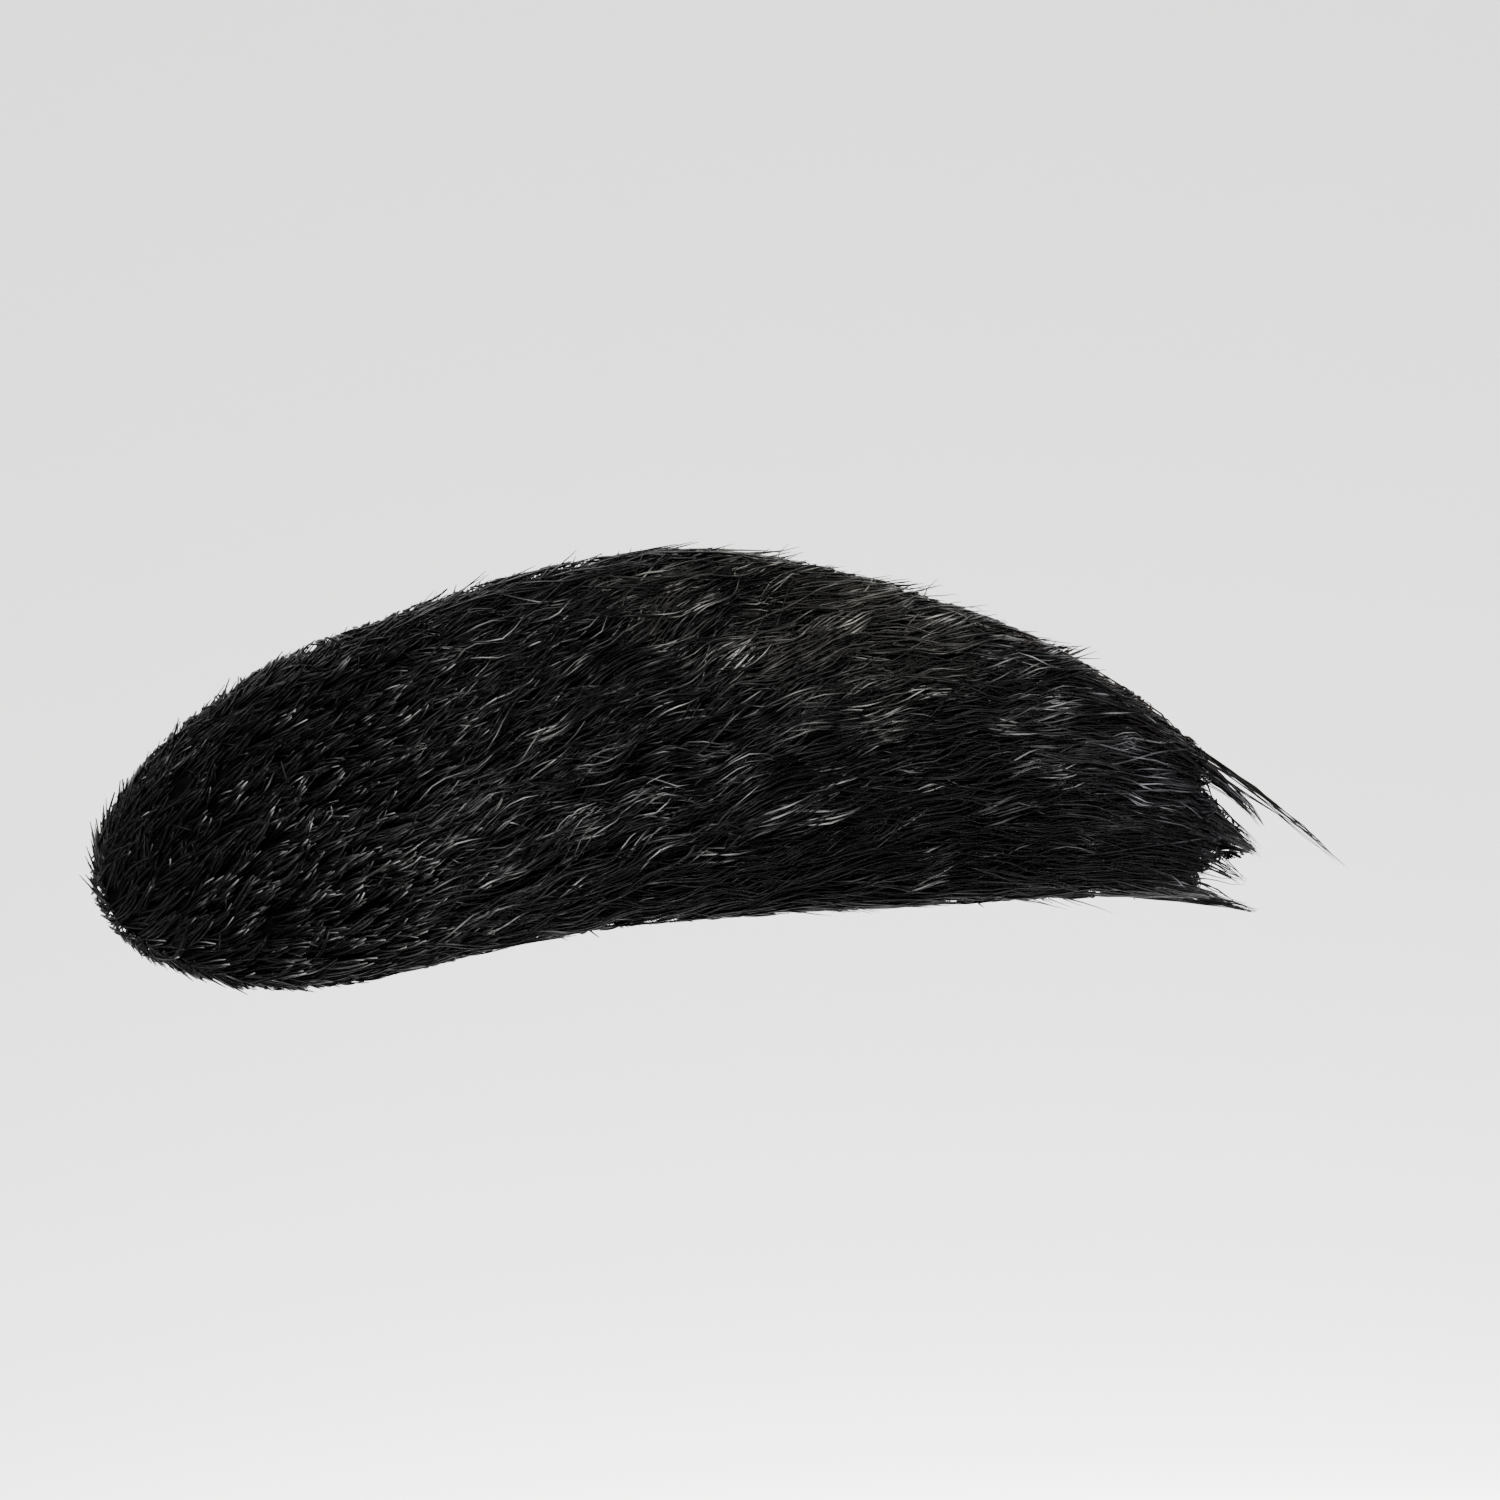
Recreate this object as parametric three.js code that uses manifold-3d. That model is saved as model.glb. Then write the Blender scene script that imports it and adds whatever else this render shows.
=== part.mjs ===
// A stick-on costume eyebrow for the left side, in the curved shape that it takes when it is worn. It is a
// fabric backing cut to shape, a die-cut sheet of double-sided adhesive behind it, and a deep pile of hair
// in front, combed in overlapping locks from its round inner end to its pointed outer tip.
//
// Millimetres. The eyebrow is stuck to a curved surface, the seat, and the origin is the point of the seat
// behind the eyebrow's middle. +X runs towards the outer tip, -Y is the way the hair faces, and +Z is up.
// A place on the eyebrow is told in three numbers: how far along it lies (0 at the inner end, 1 at the outer
// tip), how far across (-1 at the lower edge, 1 at the upper edge), and its height above the seat.
import * as THREE from "three";
import { mergeVertices } from "three/addons/utils/BufferGeometryUtils.js";
import Module from "manifold-3d";

const wasm = await Module();
wasm.setup();

// The outline, laid flat
const browLength = 64.7;
const browHeight = 18.8;

// The seat: its radius seen from above, and its radius from bottom to top
const seatRadius = 92;
const seatRidgeRadius = 60;

// The layers, from the seat outwards
const adhesiveThickness = 0.6;
const backingThickness = 1.0;
const pileHeight = 3.9;
const pieceGap = 0.3;

// How far each layer stops short of the layer in front of it
const hairOverhang = 1.3;
const adhesiveInset = 1.4;

// The hair: its rim, which hangs over the edge of the backing, and its locks
const rimBottom = 0.5;
const rimThickness = 0.9;
const lockLength = 15;
const lockWidth = 2.6;
const lockCrest = 0.8;
const tipLift = 0.3;
const lockRows = 11;
const locksAcross = 7;
const firstRow = 0.012;
const rowsReach = 0.84;
const edgeLocks = 15;
const edgeLockLength = 7;
const edgeLockReach = 0.4;

// How deep the sides of a lock lie inside the pile, how deep its root and keel go, the share of its length
// in which it comes up from the root, and its width at the root as a share of the full width
const lockSink = 0.3;
const rootDepth = 0.35;
const keelDepth = 0.9;
const rootShare = 0.12;
const rootWidth = 0.4;

// The fineness of the faceted solids
const sectionsAlong = 22;
const hairPointsAcross = 13;
const sheetPointsAcross = 5;
const lockSections = 4;

// The shape of the ends: the shares of the length over which they round off, the share left flat at the very
// end, how soon the pile comes down there, and how square the pile is from edge to edge
const innerRound = 0.19;
const outerRound = 0.07;
const endTrim = 0.0008;
const pileClosing = 0.8;
const domeSquareness = 2.4;

const hairColour = "#0b0b0d";
const backingColour = "#131316";
const adhesiveColour = "#d9d4c6";

// Heights above the seat that follow from the layers
const backingBottom = adhesiveThickness + pieceGap;
const backingTop = backingBottom + backingThickness;
const pileBottom = backingTop + pieceGap;
const rimTop = rimBottom + rimThickness;

// The outline, a row for each section. middle is the height of the section's centre and height its size
// from edge to edge, both as shares of browHeight. pile is the depth of the hair as a share of the deepest.
// comb is how far a lock that starts there climbs towards the upper edge, in places across.
const outline = [
  { along: 0.0, middle: -0.26, height: 0.76, pile: 0.55, comb: 0.4 },
  { along: 0.2, middle: -0.12, height: 0.89, pile: 0.95, comb: 0.35 },
  { along: 0.35, middle: -0.02, height: 0.94, pile: 1.0, comb: 0.25 },
  { along: 0.5, middle: 0.0, height: 0.94, pile: 1.0, comb: 0.15 },
  { along: 0.7, middle: -0.1, height: 0.76, pile: 0.9, comb: 0.05 },
  { along: 0.85, middle: -0.235, height: 0.53, pile: 0.7, comb: 0.0 },
  { along: 1.0, middle: -0.45, height: 0.18, pile: 0.3, comb: 0.0 },
];

// The tufts of the outer tip. start and across are where each one starts, past is how far beyond the outline
// it ends, and drop how far below its start, both in millimetres.
const tipTufts = [
  { start: 0.84, across: 0.4, past: 2.6, drop: 6.6 },
  { start: 0.85, across: 0.1, past: 0.7, drop: 4.2 },
  { start: 0.87, across: -0.2, past: -0.4, drop: 3.0 },
  { start: 0.86, across: -0.5, past: 0.1, drop: 2.8 },
  { start: 0.8, across: -0.8, past: -1.8, drop: 2.4 },
];

// A smooth curve through one column of the outline's table.
function readOutline(column, along) {
  const last = outline.length - 1;
  const slope = (k) => {
    const before = outline[Math.max(0, k - 1)];
    const after = outline[Math.min(last, k + 1)];
    return (after[column] - before[column]) / (after.along - before.along);
  };
  const place = THREE.MathUtils.clamp(along, 0, 1);
  const k = Math.max(1, outline.findIndex((row) => row.along >= place));
  const from = outline[k - 1];
  const to = outline[k];
  const span = to.along - from.along;
  const u = (place - from.along) / span;
  const start = from[column] * (2 * u ** 3 - 3 * u ** 2 + 1) + slope(k - 1) * span * (u ** 3 - 2 * u ** 2 + u);
  const end = to[column] * (3 * u ** 2 - 2 * u ** 3) + slope(k) * span * (u ** 3 - u ** 2);
  return start + end;
}

// 1 along most of a layer, closing in a round inner end and a tighter outer tip.
function endRounding(share) {
  const inner = Math.min(1, share / innerRound);
  const outer = Math.min(1, (1 - share) / outerRound);
  const round = (x) => Math.sqrt(Math.max(0, 1 - (1 - x) ** 2));
  return round(inner) * round(outer);
}

// The point at a height above the seat. flat is the place on the seat laid flat, and the height is measured
// square to it.
function aboveSeat(flat, height) {
  const angle = flat.x / seatRadius;
  const bulge = flat.y ** 2 / (2 * seatRidgeRadius);
  const foot = new THREE.Vector3(
    (seatRadius - bulge) * Math.sin(angle),
    seatRadius - (seatRadius - bulge) * Math.cos(angle),
    flat.y,
  );
  const normal = new THREE.Vector3(Math.sin(angle), -Math.cos(angle), flat.y / seatRidgeRadius);
  return foot.addScaledVector(normal.normalize(), height);
}

// Half the size of a layer from edge to edge at a share of its own length, inset from the hair's edge.
function halfHeight(along, share, inset) {
  const full = (readOutline("height", along) * browHeight) / 2;
  return Math.max(0, full - inset) * endRounding(share);
}

// A place on the seat laid flat, at a share of a layer's own length.
function flatPoint(share, across, inset = 0) {
  const start = inset / browLength;
  const along = start + share * (1 - 2 * start);
  const middle = readOutline("middle", along) * browHeight;
  return new THREE.Vector2((along - 0.5) * browLength, middle + across * halfHeight(along, share, inset));
}

// The outer surface of the hair: a dome from edge to edge, as deep as the pile at that place.
function hairTop(along, across) {
  const deepest = pileBottom + pileHeight * readOutline("pile", along);
  const round = Math.sqrt(1 - Math.min(1, Math.abs(across)) ** domeSquareness);
  return rimTop + (deepest - rimTop) * round * endRounding(along) ** pileClosing;
}

// The same surface at any place laid flat. Beyond the outline it is the height of the rim.
function hairTopAt(flat) {
  const along = flat.x / browLength + 0.5;
  const half = halfHeight(along, along, 0);
  const middle = readOutline("middle", along) * browHeight;
  return half > 0 ? hairTop(along, (flat.y - middle) / half) : rimTop;
}

// A closed skin over a row of rings, each a list of points in the same order round the section.
function loft(rings) {
  const count = rings[0].length;
  const points = rings.flat();
  const faces = [];
  for (let i = 0; i + 1 < rings.length; i++) {
    for (let j = 0; j < count; j++) {
      const a = i * count + j;
      const b = i * count + ((j + 1) % count);
      faces.push([a, a + count, b], [b, a + count, b + count]);
    }
  }
  const lastRing = (rings.length - 1) * count;
  for (let j = 1; j + 1 < count; j++) {
    faces.push([0, j, j + 1], [lastRing, lastRing + j + 1, lastRing + j]);
  }
  const geometry = new THREE.BufferGeometry();
  geometry.setAttribute("position", new THREE.Float32BufferAttribute(points.flatMap((p) => [p.x, p.y, p.z]), 3));
  geometry.setIndex(faces.flat());
  return geometry;
}

// Shares of the length, closer together at the two round ends.
function stations() {
  return Array.from({ length: sectionsAlong }, (_, k) => {
    const spread = (1 - Math.cos((Math.PI * k) / (sectionsAlong - 1))) / 2;
    return THREE.MathUtils.lerp(endTrim, 1 - endTrim, spread);
  });
}

// Places across a section, closer together at the edges.
function acrossSteps(count) {
  return Array.from({ length: count }, (_, k) => Math.sin((Math.PI / 2) * (-1 + (2 * k) / (count - 1))));
}

// A sheet of even thickness, such as the backing, cut to the eyebrow's shape.
function sheet(inset, bottom, top) {
  const steps = acrossSteps(sheetPointsAcross);
  const rings = stations().map((share) => [
    ...steps.map((across) => aboveSeat(flatPoint(share, across, inset), top)),
    ...steps.toReversed().map((across) => aboveSeat(flatPoint(share, across, inset), bottom)),
  ]);
  return loft(rings);
}

// The pile without its locks: domed in front and flat behind.
function hairBody() {
  const front = acrossSteps(hairPointsAcross);
  const back = acrossSteps(sheetPointsAcross).toReversed();
  const rings = stations().map((share) => [
    ...front.map((across) => aboveSeat(flatPoint(share, across), hairTop(share, across))),
    ...back.map((across) => aboveSeat(flatPoint(share, across), rimBottom)),
  ]);
  return loft(rings);
}

// One lock: a pointed ridge of hair that grows out of the pile, swells and runs out to a tip. Its sides and
// keel stay inside the pile, so that it leaves no pocket under it.
function lock(path, width, crest) {
  const rings = [];
  for (let k = 0; k < lockSections; k++) {
    const u = (0.98 * k) / (lockSections - 1);
    const centre = path.getPoint(u);
    const tangent = path.getTangent(u);
    const half = (width / 2) * Math.sqrt(1 - u) * (rootWidth + (1 - rootWidth) * Math.min(1, 2 * u));
    const upper = centre.clone().add(new THREE.Vector2(-tangent.y, tangent.x).multiplyScalar(half));
    const lower = centre.clone().multiplyScalar(2).sub(upper);
    const root = rootDepth * Math.max(0, 1 - u / rootShare);
    const swell = crest * Math.sin(Math.PI * u) + tipLift * u;
    const keel = Math.max(rimBottom + 0.1, hairTopAt(centre) - lockSink - root - keelDepth * (1 - u));
    rings.push([
      aboveSeat(lower, hairTopAt(lower) - lockSink - root),
      aboveSeat(centre, hairTopAt(centre) + swell - root),
      aboveSeat(upper, hairTopAt(upper) - lockSink - root),
      aboveSeat(centre, keel),
    ]);
  }
  return loft(rings);
}

// A repeatable number between -1 and 1 for the nth small difference between locks.
function jitter(n) {
  const wave = Math.sin(n * 127.1 + 11.7) * 43758.5453;
  return 2 * (wave - Math.floor(wave)) - 1;
}

// A path that follows the eyebrow's own curve from one place on it to another.
function combedPath(along, across, alongTip, acrossTip) {
  const root = flatPoint(along, across);
  const tip = flatPoint(alongTip, acrossTip);
  const halfway = flatPoint((along + alongTip) / 2, (across + acrossTip) / 2);
  const bend = halfway.multiplyScalar(2).sub(root.clone().add(tip).multiplyScalar(0.5));
  return new THREE.QuadraticBezierCurve(root, bend, tip);
}

// The locks that cover the front of the pile like shingles, row by row from the inner end to the outer tip.
function faceLocks() {
  const locks = [];
  for (let row = 0; row < lockRows; row++) {
    const stagger = row % 2 ? 0.45 : 0;
    for (let k = 0; k < locksAcross; k++) {
      const n = row * locksAcross + k;
      const along = firstRow + (rowsReach * row) / (lockRows - 1) + 0.008 * jitter(n) * Math.min(1, row);
      const across = -0.84 + (1.68 * (k + stagger)) / (locksAcross - 0.55);
      const alongTip = Math.min(0.97, along + (lockLength / browLength) * (1 + 0.15 * jitter(n + 300)));
      const climb = readOutline("comb", along) + 0.06 * jitter(n + 600);
      const acrossTip = THREE.MathUtils.clamp(across + climb, -0.9, 0.9);
      const width = lockWidth * (1 + 0.2 * jitter(n + 900));
      const crest = lockCrest * (1 + 0.25 * jitter(n + 1200));
      locks.push(lock(combedPath(along, across, alongTip, acrossTip), width, crest));
    }
  }
  return locks;
}

// The small locks along the upper and lower edges, whose tips stand out past the outline a little.
function rimLocks() {
  const locks = [];
  for (const edge of [-1, 1]) {
    for (let k = 0; k < edgeLocks; k++) {
      const n = 2000 + edge * 100 + k;
      const along = 0.04 + (0.82 * k) / (edgeLocks - 1);
      const alongTip = Math.min(0.965, along + edgeLockLength / browLength);
      const reach = (edgeLockReach * (1 + 0.6 * jitter(n))) / halfHeight(alongTip, alongTip, 0);
      const path = combedPath(along, edge * 0.84, alongTip, edge * (1 + reach));
      locks.push(lock(path, lockWidth * 0.6, lockCrest * 0.6));
    }
  }
  return locks;
}

// The pointed tufts of the outer tip.
function tipLocks() {
  return tipTufts.map(({ start, across, past, drop }) => {
    const root = flatPoint(start, across);
    const tip = new THREE.Vector2(browLength / 2 + past, root.y - drop);
    const bend = new THREE.Vector2((root.x + tip.x) / 2, root.y - drop * 0.4);
    return lock(new THREE.QuadraticBezierCurve(root, bend, tip), lockWidth * 0.85, lockCrest);
  });
}

// A three.js geometry as a manifold solid, and back.
function toSolid(geometry) {
  const merged = mergeVertices(geometry);
  return new wasm.Manifold(
    new wasm.Mesh({
      numProp: 3,
      vertProperties: new Float32Array(merged.getAttribute("position").array),
      triVerts: new Uint32Array(merged.index.array),
    }),
  );
}

function toGeometry(solid) {
  const mesh = solid.getMesh();
  const geometry = new THREE.BufferGeometry();
  geometry.setAttribute("position", new THREE.Float32BufferAttribute(mesh.vertProperties, 3));
  geometry.setIndex(Array.from(mesh.triVerts));
  return geometry;
}

// A pocket closed off between locks is a shell turned inside out, of negative volume. It is left solid.
function withoutPockets(solid) {
  return wasm.Manifold.union(solid.decompose().filter((shell) => shell.volume() > 0));
}

// The hair in one piece: the pile with every lock fused to it, hollowed behind to sit over the backing.
function hair() {
  const pile = wasm.Manifold.union([hairBody(), ...faceLocks(), ...rimLocks(), ...tipLocks()].map(toSolid));
  const recess = toSolid(sheet(hairOverhang - pieceGap, -1, pileBottom));
  return toGeometry(withoutPockets(pile.subtract(recess)));
}

function part(name, geometry, color, roughness) {
  const mesh = new THREE.Mesh(geometry, new THREE.MeshStandardMaterial({ color, roughness, metalness: 0 }));
  mesh.name = name;
  return mesh;
}

const eyebrow = new THREE.Group();
eyebrow.add(part("hair", hair(), hairColour, 0.45));
eyebrow.add(part("backing", sheet(hairOverhang, backingBottom, backingTop), backingColour, 0.9));
eyebrow.add(part("adhesive", sheet(hairOverhang + adhesiveInset, 0, adhesiveThickness), adhesiveColour, 0.35));

export default eyebrow;
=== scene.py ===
# %% [markdown]
# # A thick costume eyebrow, hair by hair
#
# This lesson dresses a stick-on costume eyebrow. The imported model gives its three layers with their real
# sizes: the outer form of the hair, a fabric backing and a sheet of adhesive. On the real thing the hair is
# some thousands of fine synthetic fibres knotted into the backing, combed towards the outer tip and cut to an
# outline. A smooth solid can't show that, so the hair is rebuilt here as real strands of geometry. Every size
# is in metres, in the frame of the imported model: X runs along the eyebrow to its outer tip, -Y is the way the
# hair faces, and Z is up.

import math

import bpy
import numpy as np
from mathutils import Matrix, Vector


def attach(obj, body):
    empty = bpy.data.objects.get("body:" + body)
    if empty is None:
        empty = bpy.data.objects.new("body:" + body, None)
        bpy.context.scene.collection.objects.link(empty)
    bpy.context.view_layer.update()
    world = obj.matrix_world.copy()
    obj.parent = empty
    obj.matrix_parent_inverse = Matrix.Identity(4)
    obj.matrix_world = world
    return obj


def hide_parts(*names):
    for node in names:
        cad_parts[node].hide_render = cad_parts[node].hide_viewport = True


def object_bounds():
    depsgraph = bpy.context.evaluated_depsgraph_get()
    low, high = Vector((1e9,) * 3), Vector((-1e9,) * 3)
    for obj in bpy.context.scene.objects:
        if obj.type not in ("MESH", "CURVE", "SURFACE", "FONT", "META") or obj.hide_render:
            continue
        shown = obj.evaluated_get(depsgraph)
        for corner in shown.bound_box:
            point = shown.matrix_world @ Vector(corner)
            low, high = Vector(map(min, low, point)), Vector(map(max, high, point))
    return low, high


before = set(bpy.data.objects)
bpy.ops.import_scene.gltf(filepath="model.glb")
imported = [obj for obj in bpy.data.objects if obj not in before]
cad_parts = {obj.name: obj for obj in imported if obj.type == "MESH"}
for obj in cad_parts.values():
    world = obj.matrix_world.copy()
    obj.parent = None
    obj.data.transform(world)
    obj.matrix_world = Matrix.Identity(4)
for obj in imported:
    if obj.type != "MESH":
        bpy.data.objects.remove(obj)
cad_box = [list(corner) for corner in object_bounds()]
MM = 0.001
print("nodes:", sorted(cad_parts), "box in mm:", [[round(v / MM, 1) for v in c] for c in cad_box])

# %% [markdown]
# ## The eyebrow's own map
#
# The eyebrow bends round the surface it is stuck to, so it is drawn on that surface laid flat and then
# wrapped. A short table gives the outline as the solids have it: the height of each section's centre and its
# size from edge to edge, as shares of the tallest section, and how deep the pile of hair is. A smooth curve
# through each column gives every place between the rows. It could also be traced from the solid's mesh, but a
# table stays readable, and the strands can follow it past the solid's facets.

# %% Sizes and the outline
BROW_LENGTH = 64.7 * MM
BROW_HEIGHT = 18.8 * MM
SEAT_RADIUS = 92 * MM
SEAT_RIDGE_RADIUS = 60 * MM
ADHESIVE_THICKNESS = 0.6 * MM
BACKING_THICKNESS = 1.0 * MM
LAYER_GAP = 0.3 * MM
PILE_HEIGHT = 3.9 * MM
RIM_HEIGHT = 1.4 * MM
BACKING_INSET = 1.3 * MM
NARROWER_BY = 1.05 * MM
INNER_ROUND = 0.19
OUTER_ROUND = 0.07
PILE_CLOSING = 0.8
DOME_SQUARENESS = 2.4
EDGE_FLOOR = 0.2 * MM
BODY_REACH = 0.895
TIP_TRIM = [(0.78, 0.0), (0.9, 0.9), (1.0, 0.9)]
BACKING_BOTTOM = ADHESIVE_THICKNESS + LAYER_GAP
BACKING_TOP = BACKING_BOTTOM + BACKING_THICKNESS
PILE_BOTTOM = BACKING_TOP + LAYER_GAP

OUTLINE = [
    {"along": 0.0, "middle": -0.26, "height": 0.76, "pile": 0.55},
    {"along": 0.2, "middle": -0.12, "height": 0.89, "pile": 0.95},
    {"along": 0.35, "middle": -0.02, "height": 0.94, "pile": 1.0},
    {"along": 0.5, "middle": 0.0, "height": 0.94, "pile": 1.0},
    {"along": 0.7, "middle": -0.1, "height": 0.76, "pile": 0.9},
    {"along": 0.85, "middle": -0.235, "height": 0.53, "pile": 0.7},
    {"along": 1.0, "middle": -0.45, "height": 0.18, "pile": 0.3},
]


def read_outline(column, along):
    """A smooth curve through one column of the outline's table, at any places along."""
    places = np.array([row["along"] for row in OUTLINE])
    values = np.array([row[column] for row in OUTLINE])
    before = np.maximum(np.arange(len(places)) - 1, 0)
    after = np.minimum(np.arange(len(places)) + 1, len(places) - 1)
    slopes = (values[after] - values[before]) / (places[after] - places[before])
    at = np.clip(along, 0, 1)
    k = np.clip(np.searchsorted(places, at), 1, len(places) - 1)
    span = places[k] - places[k - 1]
    u = (at - places[k - 1]) / span
    start = values[k - 1] * (2 * u**3 - 3 * u**2 + 1) + slopes[k - 1] * span * (u**3 - 2 * u**2 + u)
    end = values[k] * (3 * u**2 - 2 * u**3) + slopes[k] * span * (u**3 - u**2)
    return start + end


def end_rounding(share):
    """1 along most of a layer, closing in a round inner end and a tighter outer tip."""
    inner = np.clip(share / INNER_ROUND, 0, 1)
    outer = np.clip((1 - share) / OUTER_ROUND, 0, 1)
    return np.sqrt(1 - (1 - inner) ** 2) * np.sqrt(1 - (1 - outer) ** 2)


def half_height(along, share, inset=0.0):
    """Half a layer's size from edge to edge, inset from the hair's edge."""
    return np.maximum(0, read_outline("height", along) * BROW_HEIGHT / 2 - inset) * end_rounding(share)


print("tallest section in mm:", round(float(2 * half_height(0.45, 0.45) / MM), 2))

# %% [markdown]
# ## Wrapping it round the seat
#
# One function carries any place on the flat map to the curved surface, at a height measured square to it.
# Three more read how deep the pile is there, how far the tip is trimmed inside the solid's outline, and find a
# flat place's share along and across. Everything below
# is worked out on arrays of thousands of places at once with numpy, which takes a moment where a loop in
# Python would take minutes.

# %% From flat places to the curved surface
def flat_place(share, across, inset=0.0):
    """The flat place at a share of a layer's own length and a share across, from -1 to 1."""
    start = inset / BROW_LENGTH
    along = start + share * (1 - 2 * start)
    middle = read_outline("middle", along) * BROW_HEIGHT
    return (along - 0.5) * BROW_LENGTH, middle + across * half_height(along, share, inset)


def seat_normal(x, z):
    """The direction square to the surface at a flat place."""
    angle = x / SEAT_RADIUS + 0 * z
    normal = np.stack([np.sin(angle), -np.cos(angle), z / SEAT_RIDGE_RADIUS + 0 * angle], -1)
    return normal / np.linalg.norm(normal, axis=-1, keepdims=True)


def above_seat(x, z, height):
    """The point in the row frame at a height above a flat place."""
    angle = x / SEAT_RADIUS + 0 * z
    radius = SEAT_RADIUS - z**2 / (2 * SEAT_RIDGE_RADIUS)
    foot = np.stack([radius * np.sin(angle), SEAT_RADIUS - radius * np.cos(angle), z + 0 * angle], -1)
    return foot + seat_normal(x, z) * np.asarray(height)[..., None]


def hair_top(along, across):
    """The height of the pile's outer surface, a dome from edge to edge."""
    deepest = PILE_BOTTOM + PILE_HEIGHT * read_outline("pile", along)
    dome = np.sqrt(1 - np.clip(np.abs(across), 0, 1) ** DOME_SQUARENESS)
    return RIM_HEIGHT + (deepest - RIM_HEIGHT) * dome * end_rounding(np.clip(along, 0, 1)) ** PILE_CLOSING


def tip_trim(along):
    """How much lower than the solid's the upper edge of the hair is cut, which is so near the tip only."""
    return np.interp(along, [place for place, _ in TIP_TRIM], [trim for _, trim in TIP_TRIM]) * MM


def place_on_brow(x, z):
    """The shares along and across of a flat place. Past an edge, across passes 1."""
    along = x / BROW_LENGTH + 0.5
    middle = read_outline("middle", along) * BROW_HEIGHT
    half = np.maximum(half_height(along, np.clip(along, 0.002, 0.998)), EDGE_FLOOR)
    return along, (z - middle) / half


print("deepest point of the pile in mm:", round(float(hair_top(0.4, 0.0) / MM), 2))

# %% [markdown]
# ## Combing
#
# The fibres don't follow the outline. At the inner end they are brushed steeply up, in the arch they lean
# less and less, and in the outer half they run almost level, so that they cross the falling upper edge and
# are cut there. A direction field says all this in one small table: the angle of the hair along the eyebrow.
# Close to an edge the hair gives way and turns towards the edge's own slope. Blender's hair curves could be
# combed by hand with its brushes, but a field is repeatable, and it gives plain meshes in the end.

# %% The direction of the hair
COMB = [
    {"along": 0.0, "degrees": 62},
    {"along": 0.08, "degrees": 46},
    {"along": 0.2, "degrees": 30},
    {"along": 0.38, "degrees": 24},
    {"along": 0.52, "degrees": 15},
    {"along": 0.66, "degrees": 4},
    {"along": 0.8, "degrees": -9},
    {"along": 0.92, "degrees": -17},
    {"along": 1.0, "degrees": -24},
]
EDGE_SLOPE_LIMIT = math.radians(50)
EDGE_HOLD = 0.75
FALLING_HOLD = 0.25
EDGE_NEARNESS = 3.0


def edge_slope(along, across):
    """The slope of the outline at the nearer edge, in radians."""
    step = 0.004
    slopes = []
    for side in (-1, 1):
        edge = [
            read_outline("middle", a) * BROW_HEIGHT + side * half_height(a, a)
            for a in (np.clip(along - step, 0.01, 0.99), np.clip(along + step, 0.01, 0.99))
        ]
        slopes.append(np.arctan2(edge[1] - edge[0], 2 * step * BROW_LENGTH))
    nearer = np.where(across > 0, slopes[1], slopes[0])
    return np.clip(nearer, -EDGE_SLOPE_LIMIT, EDGE_SLOPE_LIMIT)


def combing(along, across):
    """The angle of the hair on the flat map, in radians."""
    rows = np.array([[row["along"], row["degrees"]] for row in COMB])
    field = np.radians(np.interp(along, rows[:, 0], rows[:, 1]))
    falling = np.clip((along - 0.45) / 0.15, 0, 1) * (across > 0)
    hold = (EDGE_HOLD + (FALLING_HOLD - EDGE_HOLD) * falling) * np.clip(np.abs(across), 0, 1) ** EDGE_NEARNESS
    return field * (1 - hold) + edge_slope(along, across) * hold


print("hair angle at the inner end, arch and tip:", [round(math.degrees(combing(a, 0.0))) for a in (0.05, 0.45, 0.95)])

# %% [markdown]
# ## One strand, thousands of times
#
# A strand is a root, a length and a few small habits. It starts in the backing, rises through the pile, lies
# down in its own layer, waves a little and ends at the outline. Its path over the map is walked in short
# equal steps along the direction of the comb. Where the path would leave the outline it is shortened, as the
# scissors did on the real thing, and only a few ends are left standing out past the edge.

# %% Walking the strands over the map
def walk(x, z, length, swerve, steps):
    """Flat paths, one row for each strand: steps of equal length along the combed direction."""
    path_x, path_z = [x], [z]
    for _ in range(steps - 1):
        along, across = place_on_brow(path_x[-1], path_z[-1])
        angle = combing(along, across) + swerve
        path_x.append(path_x[-1] + np.cos(angle) * length / (steps - 1))
        path_z.append(path_z[-1] + np.sin(angle) * length / (steps - 1))
    return np.stack(path_x, 1), np.stack(path_z, 1)


def past_outline(x, z):
    """How far flat places lie outside the outline. Inside it is negative."""
    along, across = place_on_brow(x, z)
    half = np.maximum(half_height(along, np.clip(along, 0.002, 0.998)), EDGE_FLOOR)
    past_edge = (np.abs(across) - 1) * half + tip_trim(along) * (across > 0)
    return np.maximum(past_edge, np.maximum(-along, along - BODY_REACH) * BROW_LENGTH)


def trimmed_length(x, z, length, swerve, overshoot):
    """The length at which each strand meets the outline, plus its own overshoot."""
    steps = 25
    outside = past_outline(*walk(x, z, length, swerve, steps)) > overshoot[:, None]
    outside[:, 0] = False
    first = np.where(outside.any(1), outside.argmax(1), steps)
    return length * np.clip((first - 0.5) / (steps - 1), 0.1, 1)


print("the outline's middle is inside it by mm:", round(float(-past_outline(0 * MM, 0 * MM) / MM), 1))

# %% [markdown]
# ## Locks
#
# Fibres never lie alone. Static and the comb draw them together into small locks, each lock waves as one,
# and the light catches it on the crest of a wave as one short streak. So the locks come first, scattered
# evenly over the eyebrow, each with its own direction, wave and shade. The strands are then dealt out to
# them. With random strands and no locks the pile would look like brushed felt.

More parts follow.
